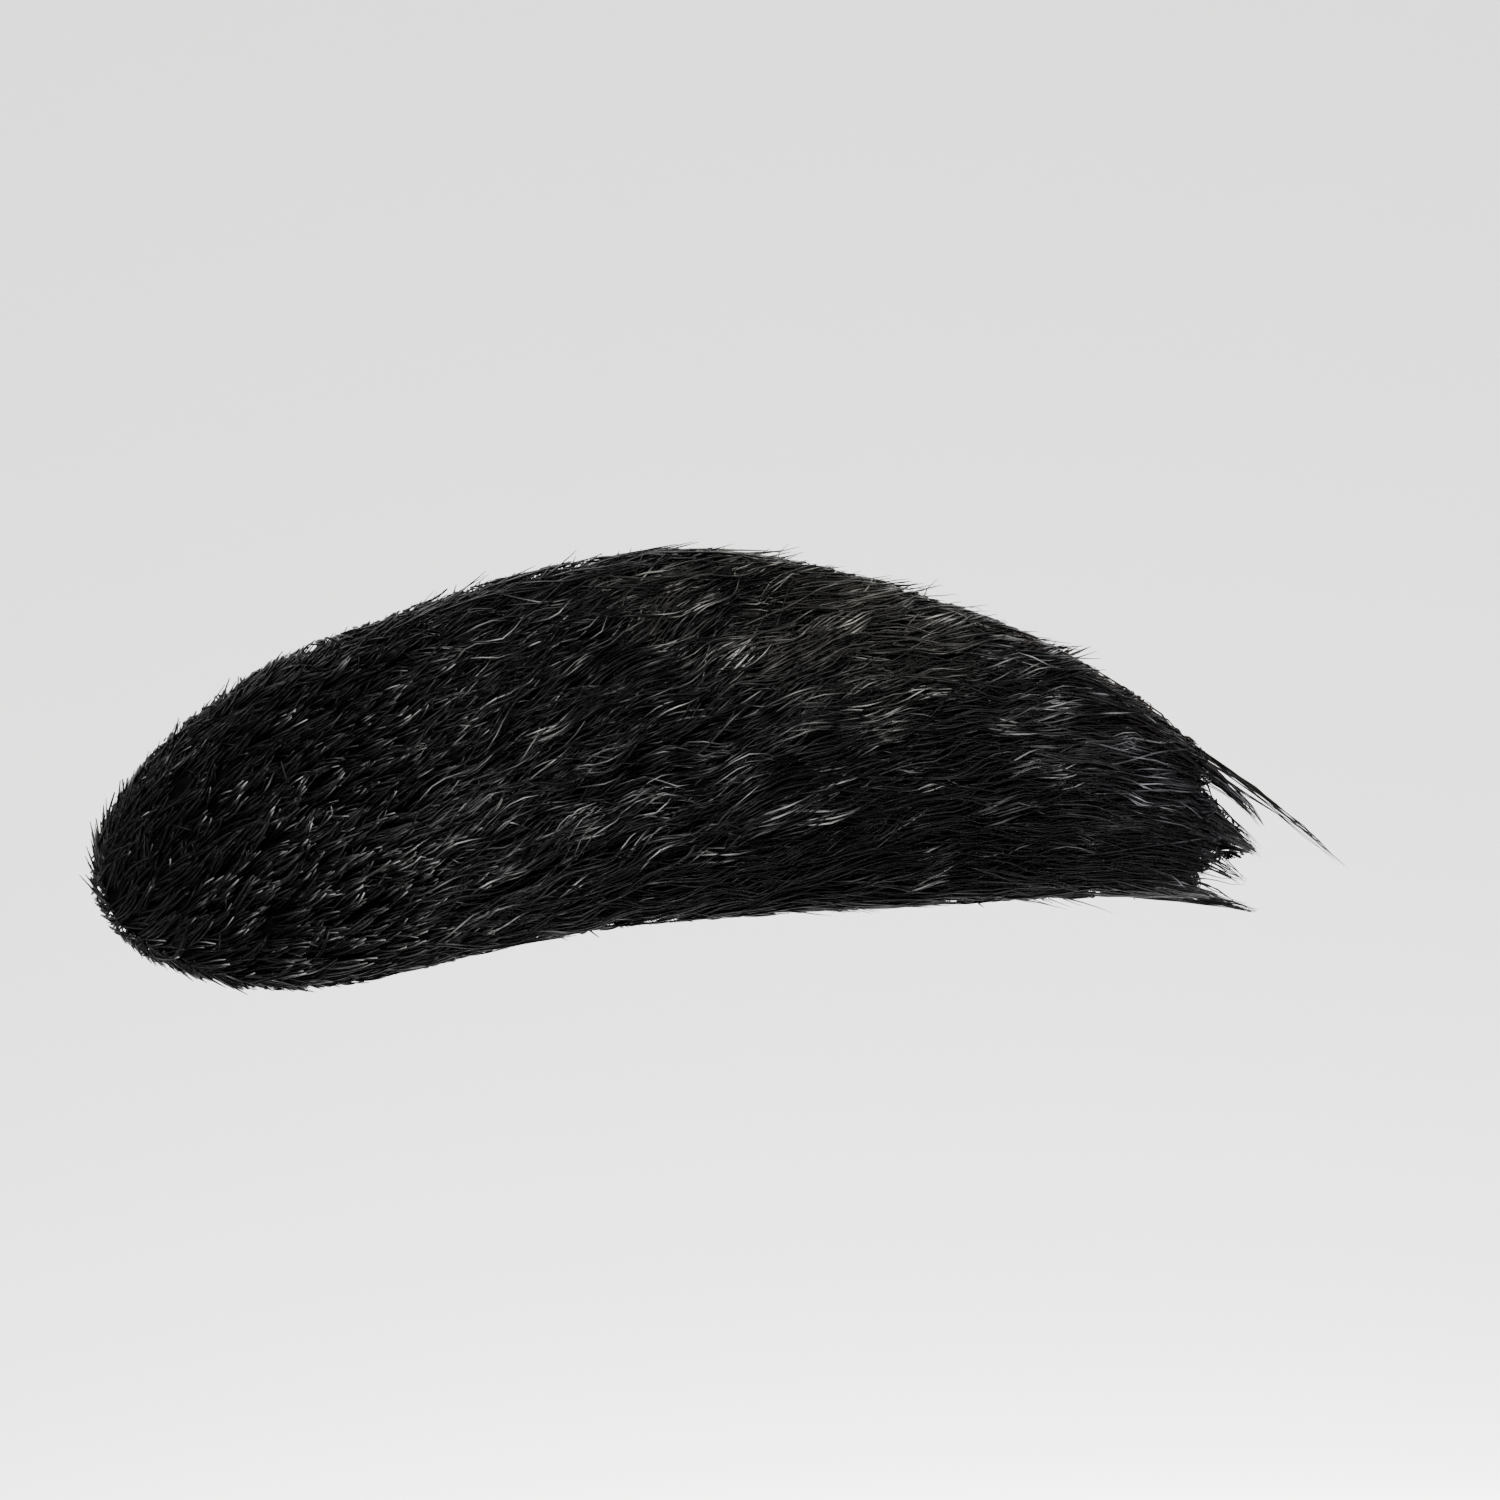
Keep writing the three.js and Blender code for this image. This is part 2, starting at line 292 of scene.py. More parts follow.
# %% Scattering the locks
LOCK_PLACES = [
    {"start": 0.0, "end": 1.0, "locks": 800},
    {"start": 0.0, "end": 0.3, "locks": 620},
]
LOCK_LENGTH = 14 * MM
LOCK_STEPS = 29
rng = np.random.default_rng(58)


def scatter(count, from_along, to_along):
    """Even random places on the flat map inside the outline, between two shares of its length."""
    found = np.empty((0, 2))
    while len(found) < count:
        x = (rng.uniform(from_along, to_along, count) - 0.5) * BROW_LENGTH
        z = rng.uniform(-0.75, 0.75, count) * BROW_HEIGHT
        inside = past_outline(x, z) < 0
        found = np.concatenate([found, np.stack([x, z], 1)[inside]])
    return found[:count, 0], found[:count, 1]


lock_roots = [scatter(row["locks"], row["start"], row["end"]) for row in LOCK_PLACES]
lock_x, lock_z = (np.concatenate([root[k] for root in lock_roots]) for k in (0, 1))
LOCK_COUNT = len(lock_x)
lock_along, lock_across = place_on_brow(lock_x, lock_z)
lock_swerve = rng.normal(0, math.radians(9), LOCK_COUNT) * (1.15 - 0.6 * lock_along)
lock_path = walk(lock_x, lock_z, np.full(LOCK_COUNT, LOCK_LENGTH), lock_swerve, LOCK_STEPS)
lock_phase = rng.uniform(0, 2 * np.pi, (LOCK_COUNT, 2))
lock_wavelength = rng.uniform(3.0, 5.2, LOCK_COUNT) * MM
lock_wave = rng.uniform(0.35, 1.0, LOCK_COUNT)
lock_layer = rng.uniform(0.8, 1.0, LOCK_COUNT)
lock_reach = rng.uniform(0, 1, LOCK_COUNT)
lock_over = np.where(rng.uniform(0, 1, LOCK_COUNT) < 0.14, rng.uniform(0.2, 0.8, LOCK_COUNT), 0)
print("locks:", LOCK_COUNT)

# %% [markdown]
# ## Black that isn't one black
#
# Black synthetic hair is not one black. Most fibres are nearly black, some are dark grey, and here and there
# a short length of a lock is painted pale, a painted highlight where the lock bends to the light. At the inner
# end, where the fibres stand up, the painted highlights sit on their cut ends and look like dots. The arch has
# a faint warm cast and the outer end a cool one, and along the thin upper edge of the fall some fibres have
# faded to brown. Each lock draws its chance of a painted highlight from where it grows, and with it how much
# painted sheen greys the whole lock where the light falls. The strands carry all this as colours on their own
# points, so that one material can serve them all.

# %% The shades of the locks
DEEP_BLACK = np.array([0.0009, 0.0009, 0.001])
SOFT_BLACK = np.array([0.005, 0.0049, 0.0052])
# Painted highlight: the colour of the short pale length where a lock bends to the light.
PAINTED_HIGHLIGHT = np.array([0.19, 0.19, 0.184])
EVEN_TINT = np.array([1.0, 1.0, 1.0])
ARCH_TINT = np.array([1.05, 1.02, 0.93])
TAIL_TINT = np.array([0.95, 0.95, 1.14])
FADED_BROWN = np.array([0.03, 0.018, 0.011])
# Painted sheen: a grey lifted into whole locks where the light falls on them.
PAINTED_SHEEN_GREY = np.array([0.034, 0.033, 0.0315])

# Soft round patches where locks are likely to carry a painted highlight.
HIGHLIGHT_PLACES = [
    {"along": 0.2, "wide": 0.12, "across": -0.4, "tall": 0.7, "chance": 0.75},
    {"along": 0.42, "wide": 0.12, "across": -0.15, "tall": 0.5, "chance": 0.55},
    {"along": 0.54, "wide": 0.17, "across": 0.6, "tall": 0.4, "chance": 0.75},
    {"along": 0.7, "wide": 0.1, "across": -0.1, "tall": 0.6, "chance": 0.25},
    {"along": 0.88, "wide": 0.07, "across": -0.2, "tall": 0.5, "chance": 0.2},
]
# Where the painted sheen lies, as soft round patches, most of it in the lit upper arch.
SHEEN_PLACES = [
    {"along": 0.2, "wide": 0.1, "across": -0.4, "tall": 0.6, "chance": 0.4},
    {"along": 0.56, "wide": 0.17, "across": 0.45, "tall": 0.55, "chance": 0.9},
    {"along": 0.8, "wide": 0.12, "across": -0.3, "tall": 0.5, "chance": 0.4},
]
HIGHLIGHT_ANYWHERE = 0.14
# The share of cut ends that carry their painted highlight.
CUT_END_HIGHLIGHTS_SEEN = 0.75
HIGHLIGHT_WIDTH = 0.1


def chance_from(table, along, across):
    """The sum of a table's soft round patches at places along and across."""
    chance = 0 * along
    for row in table:
        near = ((along - row["along"]) / row["wide"]) ** 2 + ((across - row["across"]) / row["tall"]) ** 2
        chance = chance + row["chance"] * np.exp(-near)
    return chance


highlight_chance = HIGHLIGHT_ANYWHERE + chance_from(HIGHLIGHT_PLACES, lock_along, lock_across)
lock_has_highlight = rng.uniform(0, 1, LOCK_COUNT) < highlight_chance
lock_highlight = np.where(lock_has_highlight, rng.uniform(0.3, 1.0, LOCK_COUNT) ** 1.4, 0)
lock_highlight_at = rng.uniform(0.35, 0.9, LOCK_COUNT)
lock_sheen = chance_from(SHEEN_PLACES, lock_along, lock_across) * rng.uniform(0, 1, LOCK_COUNT) ** 3
print("locks with a pale length:", int(lock_has_highlight.sum()))


def strand_shades(lock, steps, end_highlight_share):
    """A colour for each point of each strand: near black, with its lock's painted sheen and painted highlight."""
    u = np.linspace(0, 1, steps)[None]
    count = len(lock)
    soft = rng.uniform(0, 1, (count, 1)) ** 3
    base = DEEP_BLACK * (1 - soft) + SOFT_BLACK * rng.uniform(0.7, 1.6, (count, 1)) * soft
    # Painted sheen: grey added to the strands of locks in the lit patches.
    base = base + PAINTED_SHEEN_GREY * lock_sheen[lock][:, None] * rng.uniform(0.2, 1.4, (count, 1))
    # Painted highlight: a pale length on each strand, at its lock's place or, for some, on the cut end.
    highlight_on_cut_end = rng.uniform(0, 1, count) < end_highlight_share
    at = (np.where(highlight_on_cut_end, 1.0, lock_highlight_at[lock]) + rng.normal(0, 0.05, count))[:, None]
    strength = rng.uniform(0.3, 1.2, count) * np.where(highlight_on_cut_end, rng.uniform(0, 1, count) < CUT_END_HIGHLIGHTS_SEEN, 1)
    pale = (lock_highlight[lock] * strength)[:, None] * np.exp(-(((u - at) / HIGHLIGHT_WIDTH) ** 2))
    tail = np.clip((lock_along[lock] - 0.6) / 0.25, 0, 1)[:, None, None]
    arch = np.exp(-(((lock_along[lock] - 0.5) / 0.2) ** 2)) * np.clip(0.2 + lock_across[lock], 0, 1)
    tint = EVEN_TINT + (ARCH_TINT - EVEN_TINT) * arch[:, None, None]
    tint = tint * (1 - tail) + TAIL_TINT * tail
    thin_edge = np.exp(-(((lock_along[lock] - 0.78) / 0.07) ** 2)) * np.clip((lock_across[lock] - 0.55) / 0.3, 0, 1)
    faded = (thin_edge * rng.uniform(0, 1, count) ** 2)[:, None, None]
    return (base[:, None] + PAINTED_HIGHLIGHT * pale[:, :, None]) * tint + FADED_BROWN * faded


# %% [markdown]
# ## Height, wave and tube
#
# Each strand is drawn to its lock's path, little at the root and more towards its end, and takes up its
# lock's wave, sideways and in height. It keeps to its own layer of the pile, from deep inside to just over
# the surface. The path is then given a body: a slim tube with three sides, closed at both ends. Three sides
# are enough for something a tenth of a millimetre thick, because smooth shading rounds them.

# %% From flat paths to points in the pile
def nearest_lock(x, z):
    return ((x[:, None] - lock_x[None]) ** 2 + (z[:, None] - lock_z[None]) ** 2).argmin(1)


def lean_to_lock(path_x, path_z, length, lock, pull):
    """Draws each strand towards its lock's path, more and more towards its end."""
    steps = path_x.shape[1]
    u = np.linspace(0, 1, steps)[None]
    step = np.clip(u * length[:, None] / LOCK_LENGTH, 0, 0.999) * (LOCK_STEPS - 1)
    k = step.astype(int)
    f = step - k
    share = u**1.2 * pull[:, None]
    leaned = []
    for path, guide in ((path_x, lock_path[0][lock]), (path_z, lock_path[1][lock])):
        rows = np.arange(len(path))[:, None]
        target = guide[rows, k] * (1 - f) + guide[rows, k + 1] * f
        leaned.append(path + (target - path) * share)
    return leaned


def raise_into_pile(path_x, path_z, length, lock, layer, wave, rise_share, tip_lift):
    """Points in the row frame for flat paths, and the direction square to the seat at each."""
    u = np.linspace(0, 1, path_x.shape[1])[None]
    jitter = rng.normal(0, 0.4, (len(path_x), 2))
    turns = 2 * np.pi * u * (length / lock_wavelength[lock])[:, None]
    phase = lock_phase[lock] + jitter
    sway = (wave * lock_wave[lock])[:, None] * u**0.7
    ahead_x, ahead_z = np.gradient(path_x, axis=1), np.gradient(path_z, axis=1)
    size = np.hypot(ahead_x, ahead_z) + 1e-9
    x = path_x - ahead_z / size * sway * np.sin(turns + phase[:, :1])
    z = path_z + ahead_x / size * sway * np.sin(turns + phase[:, :1])
    top = hair_top(*place_on_brow(x, z))
    root = np.minimum(PILE_BOTTOM, top * 0.7)
    rise = 1 - np.clip(1 - u / rise_share[:, None], 0, 1) ** 2
    height = root + (top * layer[:, None] - root) * rise
    height += 0.8 * sway * np.sin(turns + phase[:, 1:]) + tip_lift[:, None] * u**2.5
    return above_seat(x, z, np.maximum(height, 0.3 * MM)), seat_normal(x, z)


print("longest wave of a lock in mm:", round(float(lock_wavelength.max() / MM), 1))

# %% Tubes round the points
STRAND_SIDES = 3


def tubes(points, normals, thickness, narrowing):
    """Vertices, walls and end caps of one closed tube for each row of points."""
    count, steps = points.shape[:2]
    ahead = np.gradient(points, axis=1)
    ahead /= np.linalg.norm(ahead, axis=2, keepdims=True)
    sideways = np.cross(ahead, normals)
    sideways /= np.linalg.norm(sideways, axis=2, keepdims=True) + 1e-12
    upwards = np.cross(sideways, ahead)
    radius = (thickness[:, None] / 2 * (1 - narrowing * np.linspace(0, 1, steps) ** 3))[:, :, None]
    rings = []
    for side in range(STRAND_SIDES):
        turn = 2 * math.pi * side / STRAND_SIDES + math.pi / 2
        rings.append(points + radius * (math.cos(turn) * sideways + math.sin(turn) * upwards))
    vertices = np.stack(rings, 2).reshape(-1, 3)
    first = (np.arange(count) * steps * STRAND_SIDES)[:, None, None]
    ring = (np.arange(steps - 1) * STRAND_SIDES)[None, :, None]
    corner = np.arange(STRAND_SIDES)[None, None, :]
    a = first + ring + corner
    b = first + ring + (corner + 1) % STRAND_SIDES
    walls = np.stack([a, a + STRAND_SIDES, b + STRAND_SIDES, b], -1).reshape(-1, 4)
    root_cap = np.stack([first[:, 0, 0] + side for side in range(STRAND_SIDES)], -1)
    tip_cap = root_cap[:, ::-1] + (steps - 1) * STRAND_SIDES
    return vertices, walls, np.concatenate([root_cap, tip_cap])


# %% [markdown]
# ## From arrays to a Blender object
#
# A mesh can be filled straight from arrays, which is far quicker than building it face by face. The colours
# of the strands go into a colour attribute on the points, where the material finds them by name.

# %% Filling a mesh
def strand_object(name, points, normals, thickness, narrowing, shades):
    """A mesh object of strands, with their colours in the layer strand_shade."""
    vertices, walls, caps = tubes(points, normals, thickness, narrowing)
    corners = np.concatenate([walls.ravel(), caps.ravel()])
    sizes = np.concatenate([np.full(len(walls), 4), np.full(len(caps), 3)])
    mesh = bpy.data.meshes.new(name)
    mesh.vertices.add(len(vertices))
    mesh.vertices.foreach_set("co", vertices.astype(np.float32).ravel())
    mesh.loops.add(len(corners))
    mesh.loops.foreach_set("vertex_index", corners.astype(np.int32))
    mesh.polygons.add(len(sizes))
    mesh.polygons.foreach_set("loop_start", (np.cumsum(sizes) - sizes).astype(np.int32))
    mesh.update(calc_edges=True)
    mesh.shade_smooth()
    colours = np.ones((len(vertices), 4), np.float32)
    colours[:, :3] = np.repeat(shades.reshape(-1, 3), STRAND_SIDES, axis=0)
    layer = mesh.color_attributes.new("strand_shade", "FLOAT_COLOR", "POINT")
    layer.data.foreach_set("color", colours.ravel())
    made = bpy.data.objects.new(name, mesh)
    bpy.context.scene.collection.objects.link(made)
    print(name, "strands:", len(points), "triangles:", 2 * len(walls) + len(caps))
    return made


# %% [markdown]
# ## The finish of the hair
#
# One material serves all the strands. It takes its colour from the points, made uneven by a fine noise so
# that a fibre isn't the same from end to end, and a second noise varies the gloss from lock to lock, which
# gives synthetic fibre its short glints. Blender has a shader made for hair, but it is for hair curves and
# isn't kept by exchange formats, so the general one is used.

# %% Material: black synthetic hair
def new_material(name):
    """A named material with its node tree, and its main shader."""
    made = bpy.data.materials.new(name)
    made.use_nodes = True
    return made, made.node_tree, made.node_tree.nodes["Principled BSDF"]


def add_noise(tree, scale, detail, lowest, highest):
    """A noise in the object's own space, spread between two values."""
    place = tree.nodes.new("ShaderNodeTexCoord")
    noise = tree.nodes.new("ShaderNodeTexNoise")
    noise.inputs["Scale"].default_value = scale
    noise.inputs["Detail"].default_value = detail
    spread = tree.nodes.new("ShaderNodeMapRange")
    spread.inputs["From Min"].default_value = 0.3
    spread.inputs["From Max"].default_value = 0.7
    spread.inputs["To Min"].default_value = lowest
    spread.inputs["To Max"].default_value = highest
    tree.links.new(place.outputs["Object"], noise.inputs["Vector"])
    tree.links.new(noise.outputs["Fac"], spread.inputs["Value"])
    return spread.outputs["Result"]


def black_hair():
    made, tree, shader = new_material("black_synthetic_hair")
    shade = tree.nodes.new("ShaderNodeAttribute")
    shade.attribute_name = "strand_shade"
    uneven = tree.nodes.new("ShaderNodeVectorMath")
    uneven.operation = "SCALE"
    tree.links.new(shade.outputs["Color"], uneven.inputs[0])
    tree.links.new(add_noise(tree, 900, 3, 0.55, 1.5), uneven.inputs["Scale"])
    tree.links.new(uneven.outputs["Vector"], shader.inputs["Base Color"])
    tree.links.new(add_noise(tree, 700, 2, 0.24, 0.5), shader.inputs["Roughness"])
    shader.inputs["Specular IOR Level"].default_value = 0.09
    return made


HAIR = black_hair()
print("material:", HAIR.name)

# %% [markdown]
# ## The undercoat
#
# Between the strands of a dense pile one sees only darkness, the crowded roots. Filling the pile with
# strands down to the backing would take a hundred thousand of them, so a plain dark form lies inside it, a
# little lower and smaller than the pile, and the strands are laid in and over it. Its near-black, dull finish
# is painted shade, the darkness between the strands. It is lofted ring by ring as the hair's own solid is: a
# dome in front, and a rim that reaches back round the edge of the backing.

# %% Piece: undercoat
UNDERCOAT_DEPTH = 0.66
UNDERCOAT_INSET = 0.5 * MM
UNDERCOAT_RIM = 0.9 * MM
UNDERCOAT_REACH = 0.878
UNDERCOAT_CLOSING = 0.16
UNDERCOAT_LIFT = 0.4
RING_COUNT = 70
RING_FRONT = 25


def loft_object(name, rings, open_end=False):
    """A skin over a row of rings, each an array of points in the same order, capped at its ends."""
    count = len(rings[0])
    faces = [
        [i * count + j, (i + 1) * count + j, (i + 1) * count + (j + 1) % count, i * count + (j + 1) % count]
        for i in range(len(rings) - 1)
        for j in range(count)
    ]
    faces.append(list(range(count)))
    if not open_end:
        faces.append([(len(rings) - 1) * count + j for j in reversed(range(count))])
    mesh = bpy.data.meshes.new(name)
    mesh.from_pydata([tuple(p) for ring in rings for p in ring], [], faces)
    mesh.shade_smooth()
    made = bpy.data.objects.new(name, mesh)
    bpy.context.scene.collection.objects.link(made)
    return made


def undercoat_ring(share):
    """One section: the dome, then round the rim and back through the recess. Its end lifts off the backing."""
    x, z = flat_place(share, np.sin(np.linspace(-np.pi / 2, np.pi / 2, RING_FRONT)), UNDERCOAT_INSET)
    top = hair_top(*place_on_brow(x, z))
    closing = math.sqrt(1 - max(0, 1 - (UNDERCOAT_REACH + 0.003 - share) / UNDERCOAT_CLOSING) ** 2)
    z = z[0] + (z - z[0]) * (1 - tip_trim(x / BROW_LENGTH + 0.5) / (z[-1] - z[0]))
    middle = (z[-1] + z[0]) / 2
    z = middle + (z - middle) * closing
    half = (z[-1] - z[0]) / 2
    lift = min(1, (1 - closing) / UNDERCOAT_LIFT)
    rim = UNDERCOAT_RIM + (PILE_BOTTOM + 0.5 * LAYER_GAP - UNDERCOAT_RIM) * lift
    dome = rim + (top - UNDERCOAT_RIM) * UNDERCOAT_DEPTH * closing * (1 - 0.4 * lift)
    recess = np.maximum(half - 0.5 * MM, 0.2 * half)
    ceiling = min(PILE_BOTTOM - 0.5 * LAYER_GAP, dome.max() - 0.05 * MM)
    back_z = middle + recess * np.array([1, 1, 0, -1, -1])
    back_height = np.array([rim, ceiling, ceiling, ceiling, rim]) - 0.05 * MM
    return np.concatenate([above_seat(x, z, dome), above_seat(x, back_z, back_height)])


def make_undercoat():
    spread = (1 - np.cos(np.linspace(0, np.pi, RING_COUNT))) / 2
    return loft_object("undercoat", [undercoat_ring(share) for share in 0.002 + (UNDERCOAT_REACH - 0.002) * spread])


undercoat = make_undercoat()
print("undercoat faces:", len(undercoat.data.polygons))

# %% Material: undercoat
def undercoat_painted_shade():
    made, tree, shader = new_material("undercoat_painted_shade")
    # Painted shade: near black, darker than most fibres, and almost without gloss.
    ramp = tree.nodes.new("ShaderNodeValToRGB")
    ramp.color_ramp.elements[0].color = (0.0004, 0.0004, 0.0004, 1)
    ramp.color_ramp.elements[1].color = (0.0016, 0.0016, 0.0017, 1)
    tree.links.new(add_noise(tree, 1500, 4, 0, 1), ramp.inputs["Fac"])
    tree.links.new(ramp.outputs["Color"], shader.inputs["Base Color"])
    shader.inputs["Roughness"].default_value = 0.9
    shader.inputs["Specular IOR Level"].default_value = 0.01
    return made


def dress_as_hair(piece, material):
    """The piece gets its material, hides the hair's solid in its stead and moves with the root body."""
    piece.data.materials.append(material)
    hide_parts("hair")
    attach(piece, "root")


dress_as_hair(undercoat, undercoat_painted_shade())
print("undercoat dressed")

# %% [markdown]
# ## The pile, stretch by stretch
#
# The strands are made in four stretches, so that each can have its own character and stays light enough to
# handle. At the inner end the fibres are short and stand up, and one sees their cut ends. In the arch they
# are short, wavy and crossing. Over the fall they lengthen, and in the tail they are longer and sleeker, and
# whole locks end at different lengths, which breaks up the outline there. Each row is one stretch: where it
# lies, its strands' length, how far they swerve in degrees, their wave in millimetres, how soon they lie down,
# how much of each strand stands up at its end, and how much it narrows.

# %% The table of stretches
# The tips column is the share of a stretch's strands whose painted highlight sits on the cut end.
STRETCHES = [
    {"name": "inner_hair", "start": 0.0, "end": 0.27, "strands": 4800, "steps": 7, "length": 2.2, "spread": 18,
     "wave": 0.08, "rise": 1.0, "lift": 0.45, "narrowing": 0.45, "thick": 1.12, "pull": 0.9, "tips": 0.97,
     "fly": 0.0, "ragged": 0.0},
    {"name": "arch_hair", "start": 0.2, "end": 0.5, "strands": 3400, "steps": 10, "length": 5.8, "spread": 9,
     "wave": 0.4, "rise": 0.45, "lift": 0.2, "narrowing": 0.75, "thick": 1.0, "pull": 0.85, "tips": 0.3,
     "fly": 0.05, "ragged": 0.0},
    {"name": "falling_hair", "start": 0.44, "end": 0.74, "strands": 3400, "steps": 10, "length": 7.0, "spread": 7,
     "wave": 0.32, "rise": 0.38, "lift": 0.12, "narrowing": 0.8, "thick": 1.0, "pull": 0.8, "tips": 0.25,
     "fly": 0.05, "ragged": 0.2},
    {"name": "tail_hair", "start": 0.68, "end": 0.96, "strands": 3200, "steps": 10, "length": 8.5, "spread": 5,
     "wave": 0.22, "rise": 0.3, "lift": 0.05, "narrowing": 0.85, "thick": 0.95, "pull": 0.8, "tips": 0.2,
     "fly": 0.04, "ragged": 2.4},
]
STRAND_THICKNESS = 0.115 * MM
print("strands in the four stretches:", sum(row["strands"] for row in STRETCHES))


# %% Pieces: the four stretches of hair
def end_past_outline(count, lock, fly, ragged):
    """How far past the outline each strand may end: most just short of it, a few a little over."""
    few = rng.uniform(0, 1, count) < fly
    ends = np.where(few, rng.uniform(0.1, 0.5, count), rng.uniform(-0.45, 0.05, count))
    near_tip = np.clip((lock_along[lock] - 0.7) / 0.2, 0, 1)
    over = lock_over[lock] * np.clip((lock_along[lock] - 0.15) / 0.2, 0, 1)
    return (ends + over - ragged * near_tip * lock_reach[lock] ** 1.5) * MM


def make_stretch(row):
    count, steps = row["strands"], row["steps"]
    x, z = scatter(count, row["start"], row["end"])
    lock = nearest_lock(x, z)
    loner = rng.uniform(0, 1, count) < 0.06
    swerve = lock_swerve[lock] + rng.normal(0, math.radians(row["spread"]), count) * np.where(loner, 2, 1)
    length = row["length"] * MM * rng.uniform(0.75, 1.15, count)
    ends = end_past_outline(count, lock, row["fly"], row["ragged"])
    length = trimmed_length(x, z, length, swerve, ends)
    path_x, path_z = walk(x, z, length, swerve, steps)
    pull = row["pull"] * np.where(loner, 0.1, rng.uniform(0.8, 1.05, count))
    path_x, path_z = lean_to_lock(path_x, path_z, length, lock, pull)
    free = np.clip(-past_outline(path_x[:, -1], path_z[:, -1]) / (1.5 * MM), 0.1, 1)
    layer = np.clip(lock_layer[lock] + rng.uniform(-0.16, 0.06, count), 0.66, 1.03)
    rise = row["rise"] * rng.uniform(0.7, 1.05, count)
    wave = row["wave"] * MM * np.where(loner, 0.6, 1) * np.clip(length / (4 * MM), 0.15, 1) * free
    tip_lift = row["lift"] * MM * rng.uniform(-0.2, 1, count) * free
    points, normals = raise_into_pile(path_x, path_z, length, lock, layer, wave, rise, tip_lift)
    thickness = STRAND_THICKNESS * row["thick"] * rng.uniform(0.8, 1.25, count)
    shades = strand_shades(lock, steps, row["tips"])
    return strand_object(row["name"], points, normals, thickness, row["narrowing"], shades)


for row in STRETCHES:
    dress_as_hair(make_stretch(row), HAIR)

# %% [markdown]
# ## The rim
#
# Round the edge the outermost fibres bend down over the side of the backing and hide it. They are short, and
# seen from in front they make the fine, slightly ragged line of the outline. Their roots are set along the
# outline itself: it is walked once round, and each place on it knows which way is out. At the round inner end
# they are brushed flat along the edge, which is clean there.

# %% Piece: rim hair
RIM_STRANDS = 2600
RIM_STEPS = 6
RIM_LENGTH = 2.6 * MM
RIM_REACH = 0.9
INNER_EDGE = 0.3


def walk_round_outline(count):
    """Random places on the outline, even by length, and the flat direction that points out at each."""
    share = RIM_REACH * (1 - np.cos(np.linspace(0, np.pi / 2, 200)))
    places = []
    for side in (1.0, -1.0):
        x, z = flat_place(share, side)
        z = z - tip_trim(share) * (side > 0)
        run_x, run_z = np.diff(x), np.diff(z)
        size = np.hypot(run_x, run_z)
        k = rng.choice(len(size), count // 2, p=size / size.sum())
        f = rng.uniform(0, 1, count // 2)
        out_x, out_z = -side * run_z[k] / size[k], side * run_x[k] / size[k]
        places.append((x[k] + run_x[k] * f, z[k] + run_z[k] * f, out_x, out_z))
    return [np.concatenate(column) for column in zip(*places)]


def make_rim_hair():
    edge_x, edge_z, out_x, out_z = walk_round_outline(RIM_STRANDS)
    inner = np.clip(1 - (edge_x / BROW_LENGTH + 0.5) / INNER_EDGE, 0, 1)
    inset = rng.uniform(0.7, 1.8, RIM_STRANDS) * (1 - 0.6 * inner) * MM
    x, z = edge_x - out_x * inset, edge_z - out_z * inset
    comb = combing(*place_on_brow(x, z)) + rng.normal(0, 0.15, RIM_STRANDS)
    inward = np.minimum(np.cos(comb) * out_x + np.sin(comb) * out_z, 0)
    lean = rng.uniform(0.3, 0.9, RIM_STRANDS) * (1 - 0.7 * inner) - inward
    angle = np.arctan2(np.sin(comb) + lean * out_z, np.cos(comb) + lean * out_x)
    few = rng.uniform(0, 1, RIM_STRANDS) < 0.06 * (1 - inner)
    ends = np.where(few, rng.uniform(0.1, 0.35, RIM_STRANDS), 0.0)
    reach = inset + ends * MM - rng.uniform(0, 0.25, RIM_STRANDS) * MM
    outward = np.cos(angle) * out_x + np.sin(angle) * out_z
    length = np.minimum(reach / np.maximum(outward, 0.25), RIM_LENGTH)
    u = np.linspace(0, 1, RIM_STEPS)[None]
    path_x = x[:, None] + (np.cos(angle) * length)[:, None] * u
    path_z = z[:, None] + (np.sin(angle) * length)[:, None] * u
    top = hair_top(*place_on_brow(path_x, path_z))
    start = np.minimum(top[:, :1] * 0.85, 2.4 * MM)
    end = rng.uniform(0.5, 1.5, RIM_STRANDS)[:, None] * MM
    height = start + (end - start) * u**1.6
    thickness = STRAND_THICKNESS * rng.uniform(0.8, 1.2, RIM_STRANDS)
    # Painted shade: the rim strands, bending down over the side, are coloured at half the brightness of the rest.
    shades = 0.5 * strand_shades(nearest_lock(x, z), RIM_STEPS, 0.3)
    points, normals = above_seat(path_x, path_z, height), seat_normal(path_x, path_z)
    return strand_object("rim_hair", points, normals, thickness, 0.6, shades)


dress_as_hair(make_rim_hair(), HAIR)

# %% [markdown]
# ## The tip
#
# At the outer end the outline breaks up. The cut misses the thinnest fibres, and they run out in a few loose,
# pointed tufts, the longest from the upper edge. Each tuft of the solids becomes a bundle of strands that
# starts spread out in the pile and closes in towards the tuft's point.

